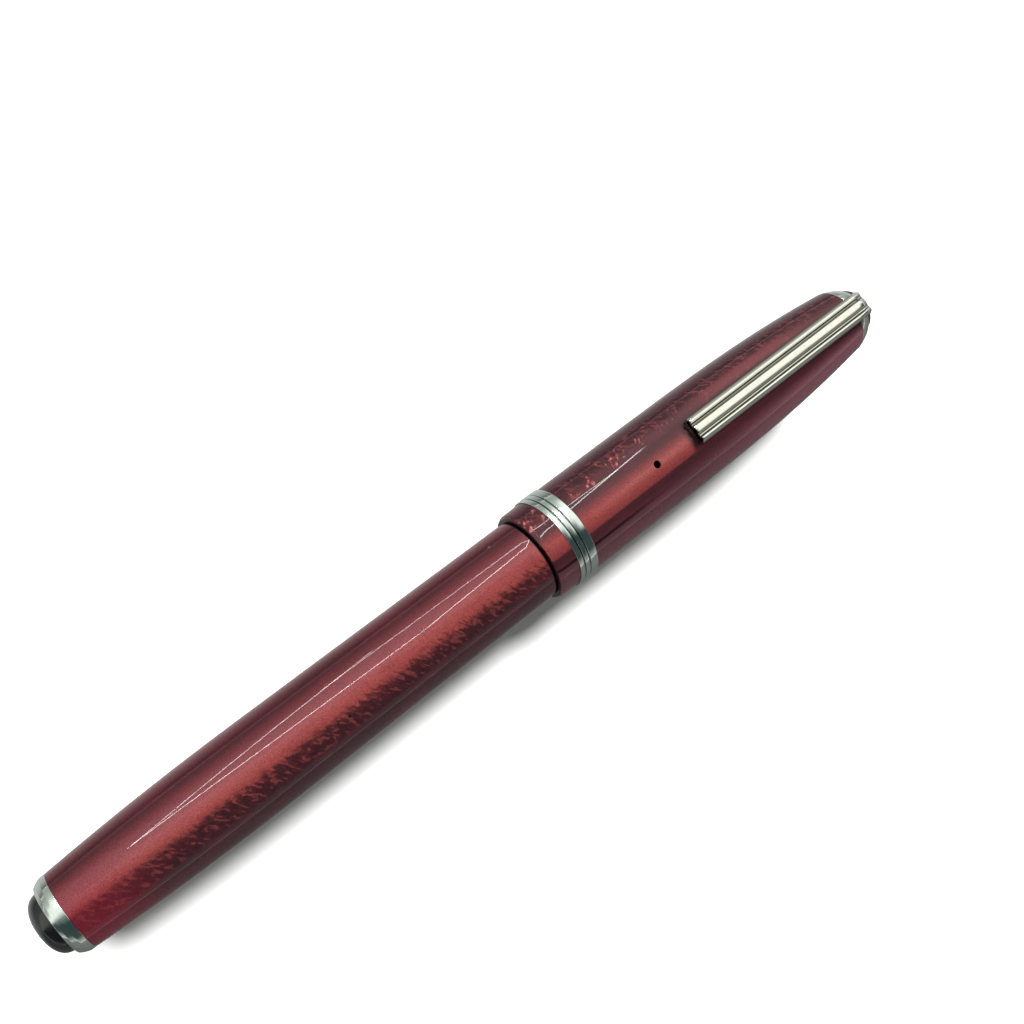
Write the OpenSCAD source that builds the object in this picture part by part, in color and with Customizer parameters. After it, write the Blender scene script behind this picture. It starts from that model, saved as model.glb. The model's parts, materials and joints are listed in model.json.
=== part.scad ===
// Lever-filling fountain pen with a screw cap, a spring clip and a jewel at each end.
// The pen lies along X: the origin is on the axis at the barrel's shoulder, where the closed
// cap's lip meets it, +X runs to the cap's top, the clip is at +Z and the lever at -Z.

/* [Barrel] */
// Radius of the parallel part of the barrel
barrel_r = 5.25; // [5.1:0.01:5.35]
// Length of the parallel part, from the shoulder
barrel_parallel = 36.5; // [36.5:0.5:40]
// Length of the whole coloured barrel, from the shoulder to the tail ring
barrel_length = 60.76; // [60:0.1:62]
// Radius of the barrel where the tail ring begins
barrel_tail_r = 4.4; // [4.3:0.01:4.5]
// Radius of the barrel's bore
barrel_bore_r = 3.9; // [3.88:0.01:3.92]
// Length of the threaded neck in front of the shoulder
neck_length = 7; // [6.8:0.1:7.2]

/* [Cap] */
// Radius of the cap's lip
lip_r = 5.95; // [5.9:0.01:6]
// Radius of the cap at its widest
cap_r = 6.1; // [6.08:0.01:6.15]
// Length of the coloured cap, from the lip to the clip ring
cap_length = 57.74; // [57.5:0.01:58]
// Radius of the cap under the clip ring's edge
cap_top_r = 4.72; // [4.65:0.01:4.75]
// Distance of the cap band from the lip
band_start = 2.98; // [2.9:0.01:3.1]
// Width of the cap band
band_width = 2.83; // [2.7:0.01:2.9]
// Radius over the cap band's ribs
band_r = 6.2; // [6.15:0.01:6.25]
// Distance of the breather hole from the lip
breather_x = 18.4; // [18:0.1:19]
// Radius of the breather hole
breather_r = 0.5; // [0.4:0.05:0.6]

/* [Clip] */
// Distance of the clip's tip from the lip
clip_tip = 25; // [24.5:0.1:26]
// Width of the clip
clip_width = 3.6; // [3.4:0.1:3.8]
// Height of the clip's outer face above the axis
clip_top = 7.25; // [7.2:0.01:7.3]
// Thickness of the clip's strip, without its ribs
clip_strip = 0.45; // [0.4:0.01:0.5]

/* [Lever] */
// Distance of the lever's pin behind the shoulder
lever_pin_x = 15; // [14.5:0.1:15]
// Length of the lever's long arm, which points to the tail
lever_arm = 21; // [20:0.5:21]
// Length of the heel that presses the bar
lever_heel = 4; // [3.8:0.1:4]
// Width of the lever
lever_width = 2.8; // [2.6:0.1:2.9]

/* [Nib] */
// Length of the section in front of the neck
section_length = 13.3; // [13.2:0.1:13.4]
// Distance of the nib's point from the shoulder
nib_point = 41; // [40:0.5:42]
// Greatest radius of the nib's curved sheet
nib_r = 2.95; // [2.8:0.05:3]

/* [Hidden] */
$fn = 96;
running = 0.05;        // radial clearance between parts that turn or slide in each other
eps = 0.01;

tail_ring_length = 1.54;
jewel_height = 1.9;
tail_jewel_r = 3.4;
cap_jewel_r = 3.45;
jewel_gap = 0.02;       // between the cap jewel and the clip ring's flat top
stud_r = 1.45;
stud_length = 4.6;
stud_end_gap = 0.3;     // left free past the tail stud's end
bore_end = 53;         // depth of the barrel's bore behind the shoulder
shoulder_rounding = 0.45;
barrel_taper_power = 2.2;
cap_widest_x = 28;
cap_taper_power = 2.35;
lip_flare = 0.02;      // rise of the cap from its lip to the start of its swell

thread_crest_r = 4.75; // barrel neck, over its threads
thread_root_r = 4.45;
thread_pitch = 1.2;
thread_first = 1.1;    // first rib in front of the shoulder
thread_count = 5;
rib_foot = 0.4;        // half width of a thread rib at its root
rib_crest = 0.15;      // half width of its flat crest
cap_bore_r = thread_crest_r + running;
cap_groove_r = 5.08;

band_seat_r = 5.65;
inner_cap_x = 20.45;   // rim of the inner cap, which seals on the section's lip
inner_cap_r = 4.45;
inner_cap_bore_r = 3.9;
inner_cap_length = 33;
inner_cap_wall = 1;

section_front = neck_length + section_length;
nipple_r = 2.6;
nipple_back = -9.5;
nipple_shoulder = -3.2; // where the section steps down to the nipple
sac_mouth = -3.4;
sac_r = 3.15;
sac_end = -46.5;
nib_socket_r = 2.8;
nib_socket_back = section_front - 7.5;
channel_r = 1.5;
collar_r = nib_socket_r - running;
nib_back_r = 2.2;      // radius of the nib's sheet inside the collar
collar_bore_r = nib_back_r + running;
collar_flange_r = 3.1;
collar_front = section_front + 1.6;
feed_r = 2;
feed_front = 35;
sheet = 0.2;           // thickness of the nib
vent_x = 29;           // vent hole at the back end of the slit
slit = 0.08;

pin_r = 0.4;
pin_z = -4.45;
pin_clearance = 0.03;
knuckle_r = 0.75;
lever_floor = -4.15;   // inner face of the lever
slot_gap = 0.1;
nail_gap = 1;          // slot left open past the lever's tip
heel_gap = 0.3;
nail_relief = 1.6;     // length of the thinned tip
nail_depth = 0.45;
pin_end_gap = 0.03;    // the filed pin ends lie this far under the barrel's surface
lever_flush_gap = 0.04;
bar_width = 3;
bar_thickness = 0.35;
bar_z = -3.55;
bar_front = -11.5;
bar_hinge_x = -47;     // eye where the bar hangs in its spring
bar_eye_r = 0.3;
spring_r = 3.35;
spring_x = -49;
leaf = 0.25;
spring_top_leaf = 4;   // length of the short leaf over the sac's end
spring_gap = 0.1;      // between the lower leaf and the bar's eye

ring_length = 2.6;
ring_wall = 0.35;
ring_top_r = 3.75;
clip_pivot_x = 60.05;
clip_pivot_z = 4.28;
clip_end_r = 0.35;
bend_r = 2.6;
clip_rib = 0.3;         // height of the clip's ribs over its strip
clip_rest = 0.03;       // gap between the folded tip and the cap
tip_block = 1.2;
fold_length = 5;
fold_sheet = 0.2;

// A solid turned about the pen's axis: each point is [distance along X, radius].
module turned(points) {
    rotate([0, 90, 0]) rotate_extrude() polygon([for (p = points) [p[1], p[0]]]);
}

// A straight round rod or bore along the pen's axis, from x = a to x = b.
module rod(a, b, r) {
    translate([a, 0, 0]) rotate([0, 90, 0]) cylinder(h = b - a, r = r);
}

// A round pin or hole across the pen, along Y.
module cross_pin(x, z, r, length) {
    translate([x, 0, z]) rotate([90, 0, 0]) cylinder(h = length, r = r, center = true);
}

// Outside of the barrel: parallel, then a taper that gets steeper towards the tail.
function barrel_radius(x) =
    x > -barrel_parallel ? barrel_r
    : barrel_r - (barrel_r - barrel_tail_r)
        * pow((-x - barrel_parallel) / (barrel_length - barrel_parallel), barrel_taper_power);

// Outside of the cap: a slight swell, then an even curve in to the clip ring.
function cap_radius(x) =
    x < cap_widest_x
    ? cap_r - (cap_r - lip_r - lip_flare) * pow(1 - x / cap_widest_x, 2)
    : cap_r - (cap_r - cap_top_r)
        * pow((x - cap_widest_x) / (cap_length - cap_widest_x), cap_taper_power);

module barrel() color([0.50, 0.13, 0.17]) {
    taper_step = (barrel_length - barrel_parallel) / 12;
    difference() {
        turned(concat(
            [[-barrel_length, 0]],
            [for (k = [12:-1:0])
                let (x = -barrel_parallel - k * taper_step) [x, barrel_radius(x)]],
            [for (a = [0:22.5:90])
                [shoulder_rounding * (sin(a) - 1),
                 barrel_r - shoulder_rounding * (1 - cos(a))]],
            [[0, thread_root_r]],
            [for (i = [0:thread_count - 1],
                  p = [[-rib_foot, 0], [-rib_crest, 1], [rib_crest, 1], [rib_foot, 0]])
                [thread_first + i * thread_pitch + p[0],
                 thread_root_r + p[1] * (thread_crest_r - thread_root_r)]],
            [[neck_length, thread_root_r], [neck_length, 0]]
        ));
        rod(-bore_end, neck_length + 1, barrel_bore_r);
        rod(-barrel_length - 1, -barrel_length + stud_length, stud_r);
        lever_slot();
        cross_pin(-lever_pin_x, pin_z, pin_r, 2 * barrel_r);
    }
}

// An upright plate along X with round ends.
module round_ended(back, front, width, z, height) {
    for (x = [back + width / 2, front - width / 2])
        translate([x, 0, z]) cylinder(h = height, r = width / 2);
    translate([back + width / 2, -width / 2, z]) cube([front - back - width, width, height]);
}

// The slot through the barrel's wall, open a little past the lever's tip for a fingernail.
module lever_slot()
    round_ended(-lever_pin_x - lever_arm - nail_gap, -lever_pin_x + lever_heel + heel_gap,
                lever_width + 2 * slot_gap, -barrel_r - 1, 3);

module tail_ring() color([0.72, 0.74, 0.72]) {
    start = -barrel_length;
    end = start - tail_ring_length;
    difference() {
        turned([[start, 0], [start, barrel_tail_r], [start - 0.5, barrel_tail_r - 0.02],
                [start - 1.05, barrel_tail_r - 0.18], [end, barrel_tail_r - 0.5], [end, 0]]);
        rod(end - 1, start + 1, stud_r);
    }
}

// A black dome that screws into the end of the pen and holds the ring under it.
module jewel(base, dir, r, length) {
    dome = [for (a = [0:9:90]) [base + dir * jewel_height * sin(a), r * cos(a)]];
    turned(concat([[base - dir * length, 0], [base - dir * length, stud_r], [base, stud_r]],
                  dome));
}

module tail_jewel() color([0.05, 0.05, 0.06])
    jewel(-barrel_length - tail_ring_length, -1, tail_jewel_r,
          stud_length + tail_ring_length - stud_end_gap);

module cap_jewel() color([0.05, 0.05, 0.06])
    jewel(cap_length + ring_length + jewel_gap, 1, cap_jewel_r, stud_length);

// The outer face follows the barrel, so the closed lever lies flush.
module lever() color([0.72, 0.73, 0.72]) {
    flush_r = barrel_r - lever_flush_gap;
    tip = -lever_pin_x - lever_arm;
    difference() {
        intersection() {
            union() {
                round_ended(tip, -lever_pin_x + lever_heel, lever_width, lever_floor - 2, 2);
                cross_pin(-lever_pin_x, pin_z, knuckle_r, lever_width);
            }
            rod(tip - 1, 0, flush_r);
        }
        cross_pin(-lever_pin_x, pin_z, pin_r + pin_clearance, lever_width + 1);
        // Nail relief under the tip
        translate([tip - 1, -lever_width, lever_floor - nail_depth])
            cube([nail_relief + 1, 2 * lever_width, 2]);
    }
}

// Driven right through the barrel's wall, with its ends filed flush.
module lever_pin() color([0.6, 0.6, 0.6])
    intersection() {
        cross_pin(-lever_pin_x, pin_z, pin_r, 2 * barrel_r);
        rod(-lever_pin_x - 1, -lever_pin_x + 1, barrel_r - pin_end_gap);
    }

// The flat bar under the sac, with a rolled eye at its rear end.
module pressure_bar() color([0.66, 0.67, 0.68]) {
    translate([bar_hinge_x, -bar_width / 2, bar_z])
        cube([bar_front - bar_hinge_x, bar_width, bar_thickness]);
    cross_pin(bar_hinge_x, bar_z + bar_thickness / 2, bar_eye_r, bar_width);
}

// The hooked leaf at the blind end that carries the bar and pushes it back.
module bar_spring() color([0.66, 0.67, 0.68]) {
    translate([spring_x, 0, 0]) rotate([90, 0, 0])
        translate([0, 0, -bar_width / 2]) rotate([0, 0, 90])
            rotate_extrude(angle = 180) translate([spring_r - leaf, 0]) square([leaf, bar_width]);
    translate([spring_x, -bar_width / 2, spring_r - leaf]) cube([spring_top_leaf, bar_width, leaf]);
    translate([spring_x, -bar_width / 2, -spring_r])
        cube([bar_hinge_x - bar_eye_r - spring_gap - spring_x, bar_width, leaf]);
}

module ink_sac() color([0.08, 0.08, 0.08]) {
    round_outside = [for (a = [0:10:90])
        [sac_end + sac_r - sac_r * sin(a), sac_r * cos(a)]];
    round_inside = [for (a = [90:-10:0])
        [sac_end + sac_r - nipple_r * sin(a), nipple_r * cos(a)]];
    turned(concat([[sac_mouth, sac_r]], round_outside, round_inside, [[sac_mouth, nipple_r]]));
}

module section() color([0.06, 0.06, 0.07]) {
    waist_x = section_front - 3.2;
    lip = 4.2;
    difference() {
        turned([
            [nipple_back, 0], [nipple_back, nipple_r], [nipple_shoulder, nipple_r],
            [nipple_shoulder, barrel_bore_r],
            [neck_length, barrel_bore_r], [neck_length, thread_root_r - 0.1],
            [neck_length + 3, 4.25], [neck_length + 6.5, 3.92], [waist_x, 3.72],
            [waist_x + 1.4, 3.78], [section_front - 0.9, 4.08], [section_front - 0.3, lip],
            [section_front, lip - 0.1], [section_front, 0]
        ]);
        rod(nib_socket_back, section_front + 1, nib_socket_r);
        rod(nipple_back - 1, section_front, channel_r);
    }
}

// Threaded sleeve of the interchangeable nib unit; the feed and the nib are pushed into it.
module nib_collar() color([0.07, 0.07, 0.08]) {
    depth = 0.2;
    root = collar_r - depth;
    pitch = 0.6;
    back = nib_socket_back + 0.3;
    difference() {
        turned(concat(
            [[back, 0], [back, root]],
            [for (i = [0:9], p = [[0.1, 0], [0.25, 1], [0.4, 1], [0.55, 0]])
                [back + 0.2 + i * pitch + p[0], root + p[1] * depth]],
            [[section_front + running, root], [section_front + running, collar_flange_r],
             [collar_front - 0.3, collar_flange_r], [collar_front, collar_flange_r - 0.3],
             [collar_front, 0]]
        ));
        rod(back - 1, collar_front + 1, collar_bore_r);
    }
}

// The black rod under the nib, with an ink channel on top and cooling fins below.
module feed() color([0.06, 0.06, 0.07]) {
    back = nib_socket_back + 0.4;
    fin_count = 7;
    fin_pitch = 0.8;
    fin_gap = 0.35;
    under_slope = 14;
    channel_width = 0.4;
    tail_r = 0.9;          // thin tail that reaches through the section into the sac
    tail_end = -4;
    difference() {
        union() {
            turned([[back, 0], [back, feed_r], [collar_front, feed_r],
                    [27, 2.5], [31, 2.3], [feed_front - 0.5, 1.75], [feed_front, 1.3],
                    [feed_front, 0]]);
            rod(tail_end, back + eps, tail_r);
        }
        translate([back - 1, -channel_width / 2, 1.6]) cube([feed_front, channel_width, 2]);
        translate([collar_front + 3, -5, -6.4])
            rotate([0, -under_slope, 0]) cube([feed_front, 10, 4]);
        for (i = [0:fin_count - 1])
            translate([collar_front + 0.6 + i * fin_pitch, -3, -3]) cube([fin_gap, 6, 2.2]);
    }
}

// Radius of the nib's curved sheet along its length.
function nib_radius(x) =
    x < collar_front ? nib_back_r
    : x < 28 ? nib_back_r + (nib_r - nib_back_r) * (x - collar_front) / (28 - collar_front)
    : nib_r - (nib_r - 2) * pow((x - 28) / (nib_point - 28), 1.5);

module nib() color([0.75, 0.75, 0.74]) {
    back = nib_socket_back + 1;
    stations = [for (x = [back, collar_front, 25, 28, 31, 34, 37, nib_point]) x];
    shoulder = 28.5;
    half_width = 2.75;
    root_half = 2.05;      // half width inside the collar
    point_half = 0.3;
    point_curve = 1.25;
    vent_r = 0.55;
    difference() {
        intersection() {
            turned(concat(
                [for (x = stations) [x, nib_radius(x)]],
                [for (i = [len(stations) - 1:-1:0])
                    [stations[i], nib_radius(stations[i]) - sheet]]
            ));
            linear_extrude(height = 5) polygon(concat(
                [[back, -root_half], [collar_front, -root_half]],
                [[26, -half_width], [shoulder, -half_width]],
                [for (t = [0.15:0.15:0.9])
                    [shoulder + (nib_point - shoulder) * t,
                     -point_half - (half_width - point_half) * pow(1 - t, point_curve)]],
                [[nib_point, -point_half], [nib_point, point_half]],
                [for (t = [0.9:-0.15:0.1])
                    [shoulder + (nib_point - shoulder) * t,
                     point_half + (half_width - point_half) * pow(1 - t, point_curve)]],
                [[shoulder, half_width], [26, half_width]],
                [[collar_front, root_half], [back, root_half]]
            ));
        }
        translate([vent_x, 0, 0]) cylinder(h = 5, r = vent_r);
        translate([vent_x, -slit / 2, 0]) cube([20, slit, 5]);
    }
}

// The hard writing point, split by the slit.
module nib_tip() color([0.82, 0.82, 0.8]) {
    difference() {
        translate([nib_point + 0.34, 0, 1.86]) sphere(r = 0.36);
        translate([nib_point - 1, -slit / 2, 0]) cube([3, slit, 5]);
        translate([nib_point - 2, -2, 0]) cube([2, 4, 4]);
    }
}

module cap_shell() color([0.45, 0.11, 0.15]) {
    spigot = cap_length + ring_length - ring_wall;
    inner_end = inner_cap_x + inner_cap_length + 0.3;
    difference() {
        turned(concat(
            [[0, 0], [0, lip_r - 0.3], [0.1, lip_r - 0.1], [0.3, lip_r]],
            [[band_start, cap_radius(band_start)], [band_start, band_seat_r]],
            [[band_start + band_width, band_seat_r]],
            [for (x = [band_start + band_width, 12, 20, 28, 32, 36, 40, 43, 46, 49, 52, 55,
                       cap_length]) [x, cap_radius(x)]],
            [[cap_length, cap_top_r - ring_wall], [spigot, ring_top_r - ring_wall], [spigot, 0]]
        ));
        rod(-1, inner_cap_x - running, cap_bore_r);
        rod(0, inner_end, inner_cap_r + running);
        rod(spigot - stud_length, spigot + 1, stud_r + running);
        for (i = [0:thread_count - 1])
            thread_groove(thread_first + i * thread_pitch);
        rotate([4, 0, 0]) translate([breather_x, 0, cap_bore_r - 1])
            cylinder(h = 4, r = breather_r);
    }
}

module thread_groove(x) {
    mouth = rib_foot + running;
    floor = rib_crest + running;
    turned([[x - mouth, 0], [x - mouth, cap_bore_r], [x - floor, cap_groove_r],
            [x + floor, cap_groove_r], [x + mouth, cap_bore_r], [x + mouth, 0]]);
}

module inner_cap() color([0.07, 0.07, 0.08]) {
    end = inner_cap_x + inner_cap_length;
    difference() {
        rod(inner_cap_x, end, inner_cap_r);
        rod(inner_cap_x - 1, end - inner_cap_wall, inner_cap_bore_r);
    }
}

module cap_band() color([0.74, 0.76, 0.74]) {
    end = band_start + band_width;
    groove_r = band_r - 0.16;
    difference() {
        turned([
            [band_start, 0], [band_start, band_r - 0.12], [band_start + 0.1, band_r - 0.02],
            [band_start + 0.62, band_r - 0.02], [band_start + 0.72, groove_r],
            [band_start + 0.82, groove_r], [band_start + 0.92, band_r],
            [band_start + 1.42, band_r], [band_start + 1.52, groove_r],
            [band_start + 1.62, groove_r], [band_start + 1.72, band_r],
            [end - 0.15, band_r], [end, band_r - 0.12], [end, 0]
        ]);
        rod(band_start - 1, end + 1, band_seat_r);
    }
}

// The bright cone over the cap's end; its flat top is held under the jewel.
module clip_ring() color([0.72, 0.74, 0.72]) {
    top = cap_length + ring_length;
    difference() {
        turned([[cap_length, 0], [cap_length, cap_top_r + 0.04], [cap_length + 0.9, 4.52],
                [cap_length + 1.8, 4.18], [top - 0.12, ring_top_r + 0.02],
                [top, ring_top_r - 0.1], [top, 0]]);
        turned([[cap_length - 1, 0], [cap_length - 1, cap_top_r - ring_wall],
                [cap_length, cap_top_r - ring_wall],
                [top - ring_wall, ring_top_r - ring_wall], [top - ring_wall, 0]]);
        rod(cap_length, top + 1, stud_r + running);
    }
}

// Cross-section of the clip's strip: a flat back, two rounded side ribs and a flat middle rib.
module clip_outline(ribs = 1) {
    half = clip_width / 2;
    rib = clip_rib * ribs;
    polygon([
        [-half, 0], [half, 0], [half - 0.12, clip_strip - 0.1], [half - 0.3, clip_strip + rib * 0.7],
        [half - 0.55, clip_strip + rib], [half - 0.8, clip_strip + rib * 0.8],
        [half - 1, clip_strip], [0.55, clip_strip], [0.42, clip_strip + rib],
        [-0.42, clip_strip + rib], [-0.55, clip_strip], [-half + 1, clip_strip],
        [-half + 0.8, clip_strip + rib * 0.8], [-half + 0.55, clip_strip + rib],
        [-half + 0.3, clip_strip + rib * 0.7], [-half + 0.12, clip_strip - 0.1]
    ]);
}

// A straight strip with a bend over the cap's top and a folded tip that presses on the cap.
module clip() color([0.78, 0.79, 0.77]) {
    back_z = clip_top - clip_strip - clip_rib;
    bend_x = clip_pivot_x + clip_end_r - clip_strip - bend_r + 0.05;
    bend_z = back_z - bend_r;
    tip_floor = cap_radius(clip_tip) + clip_rest;
    translate([clip_tip, 0, back_z]) rotate([90, 0, 90])
        linear_extrude(height = bend_x - clip_tip) clip_outline();
    translate([bend_x, 0, bend_z]) rotate([90, 0, 0]) rotate_extrude(angle = 90)
        translate([bend_r, 0]) rotate([0, 0, -90]) clip_outline(0.6);
    translate([bend_x + bend_r, -clip_width / 2, clip_pivot_z])
        cube([clip_strip, clip_width, max(bend_z - clip_pivot_z, eps)]);
    cross_pin(clip_pivot_x, clip_pivot_z, clip_end_r, clip_width);
    translate([clip_tip, -clip_width / 2, tip_floor])
        cube([tip_block, clip_width, back_z - tip_floor + eps]);
    translate([clip_tip, -clip_width / 2, tip_floor]) cube([fold_length, clip_width, fold_sheet]);
}

barrel();
tail_ring();
tail_jewel();
lever();
lever_pin();
pressure_bar();
bar_spring();
ink_sac();
section();
nib_collar();
feed();
nib();
nib_tip();
cap_shell();
inner_cap();
cap_band();
clip_ring();
clip();
cap_jewel();
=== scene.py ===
import json
import math

import bmesh
import bpy
from mathutils import Matrix, Vector


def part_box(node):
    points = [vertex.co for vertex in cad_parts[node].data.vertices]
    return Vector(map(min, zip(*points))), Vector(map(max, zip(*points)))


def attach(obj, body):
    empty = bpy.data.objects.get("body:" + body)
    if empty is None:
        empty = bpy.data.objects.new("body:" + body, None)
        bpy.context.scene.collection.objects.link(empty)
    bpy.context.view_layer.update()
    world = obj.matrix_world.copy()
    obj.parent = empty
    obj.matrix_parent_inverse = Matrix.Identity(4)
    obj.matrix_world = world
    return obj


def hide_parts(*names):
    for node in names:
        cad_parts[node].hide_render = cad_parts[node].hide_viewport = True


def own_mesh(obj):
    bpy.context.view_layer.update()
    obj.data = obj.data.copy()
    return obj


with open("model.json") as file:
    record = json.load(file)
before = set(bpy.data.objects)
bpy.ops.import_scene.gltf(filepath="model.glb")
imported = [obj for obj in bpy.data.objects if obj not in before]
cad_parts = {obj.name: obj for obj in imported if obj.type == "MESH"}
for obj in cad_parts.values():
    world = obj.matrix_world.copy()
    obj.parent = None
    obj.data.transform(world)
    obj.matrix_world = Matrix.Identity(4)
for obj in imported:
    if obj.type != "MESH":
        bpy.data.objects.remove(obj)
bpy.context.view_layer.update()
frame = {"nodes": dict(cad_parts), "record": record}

# ---------------------------------------------------------------- the frame, in millimetres
# The pen lies along X. The origin is on its axis at the barrel's shoulder, the cap is at +X,
# the clip at +Z and the lever at -Z. Shapes are written in millimetres and built in metres.

MM = 0.001


def corners(node):
    """Lowest and highest corner of a CAD node, in millimetres."""
    low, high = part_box(node)
    return low / MM, high / MM


BARREL_LOW, BARREL_HIGH = corners("barrel")
_, CAP_HIGH = corners("cap_shell")
BAND_LOW, BAND_HIGH = corners("cap_band")
RING_LOW, RING_HIGH = corners("clip_ring")
CLIP_LOW, CLIP_HIGH = corners("clip")
TAIL_LOW, TAIL_HIGH = corners("tail_ring")
TAIL_JEWEL_LOW, TAIL_JEWEL_HIGH = corners("tail_jewel")
CAP_JEWEL_LOW, CAP_JEWEL_HIGH = corners("cap_jewel")
SECTION_LOW, SECTION_HIGH = corners("section")
COLLAR_LOW, COLLAR_HIGH = corners("nib_collar")
NIB_LOW, NIB_HIGH = corners("nib")
TIP_LOW, TIP_HIGH = corners("nib_tip")
SAC_LOW, SAC_HIGH = corners("ink_sac")
INNER_LOW, INNER_HIGH = corners("inner_cap")
LEVER_LOW, LEVER_HIGH = corners("lever")
PIN_LOW, _ = corners("lever_pin")

# The barrel: parallel in front, then a taper to the tail ring, with a threaded neck and a bore.
GRIP = next(m for m in frame["record"]["mounts"] if m["name"] == "barrel_grip")["dims"]
BARREL_R = GRIP["r_mm"]
SHOULDER_ROUNDING = 0.45
BARREL_PARALLEL = GRIP["length_mm"] + SHOULDER_ROUNDING
BARREL_END = BARREL_LOW.x
BARREL_TAIL_R = TAIL_HIGH.z
BARREL_TAPER_POWER = 2.2
NECK_END = BARREL_HIGH.x
BORE_R = 3.9
BORE_END = -53
LEVER_SLOT_WIDTH = 3.0
PIN_R = 0.4

# The thread between barrel and cap. RUNNING is the clearance of everything that turns or slides.
THREAD_LEAD = 3.6
THREAD_STARTS = 3
THREAD_CREST_R = 4.75
THREAD_ROOT_R = 4.45
THREAD_FIRST = 1.1
RIB_FOOT = 0.4
RIB_CREST = 0.15
RUNNING = 0.05
CAP_GROOVE_R = 5.08

# The cap, the band's seat, the ring over its end, the jewels' studs and the breather hole.
CAP_R = CAP_HIGH.z
LIP_R = 5.95
CAP_WIDEST_X = 28
CAP_TAPER_POWER = 2.35
CAP_END = RING_LOW.x
CAP_TOP_R = 4.72
BAND_SEAT_R = 5.65
BAND_GROOVE_DEPTH = 0.16
RING_WALL = 0.35
RING_TOP_R = 3.75
STUD_R = 1.45
STUD_LENGTH = 4.6
BREATHER_X = 18.4
BREATHER_R = 0.5
BREATHER_TURN = 4

# The hollows of the filling system and the nib.
SAC_BORE_R = 2.6
COLLAR_BORE_R = 2.25
VENT_X = 29
VENT_R = 0.55
SLIT_WIDTH = 0.08

SEGMENTS = 144
SHARP_ANGLE = math.radians(32)


# ---------------------------------------------------------------- outlines


def rounded(points, steps=6):
    """An outline whose corners written (x, r, radius) become arcs of that radius."""
    made = []
    for i, point in enumerate(points):
        if len(point) < 3 or point[2] <= 0:
            made.append(Vector(point[:2]))
            continue
        corner = Vector(point[:2])
        back = Vector(points[i - 1][:2]) - corner
        ahead = Vector(points[(i + 1) % len(points)][:2]) - corner
        half = back.angle(ahead) / 2
        reach = min(point[2] / math.tan(half), 0.48 * back.length, 0.48 * ahead.length)
        radius = reach * math.tan(half)
        middle = (back.normalized() + ahead.normalized()).normalized()
        centre = corner + middle * (radius / math.sin(half))
        first = corner + back.normalized() * reach - centre
        last = corner + ahead.normalized() * reach - centre
        start = math.atan2(first.y, first.x)
        sweep = math.remainder(math.atan2(last.y, last.x) - start, 2 * math.pi)
        for k in range(steps + 1):
            a = start + sweep * k / steps
            made.append(centre + Vector((math.cos(a), math.sin(a))) * radius)
    return [(p.x, p.y) for p in made]


def dense(points, step, closed=False):
    """The same outline with no side longer than step."""
    made = []
    last = len(points) if closed else len(points) - 1
    for i in range(last):
        a, b = Vector(points[i]), Vector(points[(i + 1) % len(points)])
        count = max(1, math.ceil((b - a).length / step))
        made += [tuple(a.lerp(b, k / count)) for k in range(count)]
    return made if closed else made + [tuple(points[-1])]


def stations(start, end, count):
    return [start + (end - start) * i / count for i in range(count + 1)]


def barrel_radius(x):
    """Outside of the barrel: parallel, then a taper that gets steeper towards the tail."""
    if x > -BARREL_PARALLEL:
        return BARREL_R
    share = (-x - BARREL_PARALLEL) / (-BARREL_END - BARREL_PARALLEL)
    return BARREL_R - (BARREL_R - BARREL_TAIL_R) * share**BARREL_TAPER_POWER


def cap_radius(x):
    """Outside of the cap: a slight swell, then an even curve in to the clip ring."""
    if x < CAP_WIDEST_X:
        return CAP_R - (CAP_R - LIP_R - 0.02) * (1 - x / CAP_WIDEST_X) ** 2
    share = (x - CAP_WIDEST_X) / (CAP_END - CAP_WIDEST_X)
    return CAP_R - (CAP_R - CAP_TOP_R) * share**CAP_TAPER_POWER


def thread_height(x, turn, foot, crest, first=THREAD_FIRST, lead=THREAD_LEAD,
                  starts=THREAD_STARTS):
    """0 at the root and 1 on the crest of a right-hand thread, at x and this turn from +Z to +Y."""
    pitch = lead / starts
    along = x - first + lead * turn / (2 * math.pi)
    off = abs((along + pitch / 2) % pitch - pitch / 2)
    return min(1, max(0, (foot - off) / (foot - crest)))


# ---------------------------------------------------------------- meshes


def piece_from(name, points, faces):
    """A new object from points in millimetres, with outward normals and smooth faces."""
    mesh = bpy.data.meshes.new(name)
    mesh.from_pydata([Vector(p) * MM for p in points], [], faces)
    work = bmesh.new()
    work.from_mesh(mesh)
    bmesh.ops.remove_doubles(work, verts=work.verts, dist=1e-7)
    bmesh.ops.recalc_face_normals(work, faces=work.faces)
    if work.calc_volume(signed=True) < 0:
        bmesh.ops.reverse_faces(work, faces=work.faces)
    work.to_mesh(mesh)
    work.free()
    piece = bpy.data.objects.new(name, mesh)
    bpy.context.scene.collection.objects.link(piece)
    smooth(piece)
    return piece


def smooth(piece, angle=SHARP_ANGLE):
    piece.data.shade_smooth()
    piece.data.set_sharp_from_angle(angle=angle)


def lathe(name, outline, segments=SEGMENTS, closed=False, shape=None):
    """An outline of (x, radius) turned about X. shape(x, r, turn) may change the radius."""
    points, faces, rings = [], [], []
    for x, r in outline:
        if r < 1e-6:
            rings.append([len(points)] * segments)
            points.append((x, 0, 0))
            continue
        rings.append([len(points) + k for k in range(segments)])
        for k in range(segments):
            turn = 2 * math.pi * k / segments
            radius = shape(x, r, turn) if shape else r
            points.append((x, radius * math.sin(turn), radius * math.cos(turn)))
    pairs = list(zip(rings, rings[1:]))
    if closed:
        pairs.append((rings[-1], rings[0]))
    for ring, following in pairs:
        for k in range(segments):
            n = (k + 1) % segments
            face = list(dict.fromkeys([ring[k], ring[n], following[n], following[k]]))
            if len(face) > 2:
                faces.append(face)
    return piece_from(name, points, faces)


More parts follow.
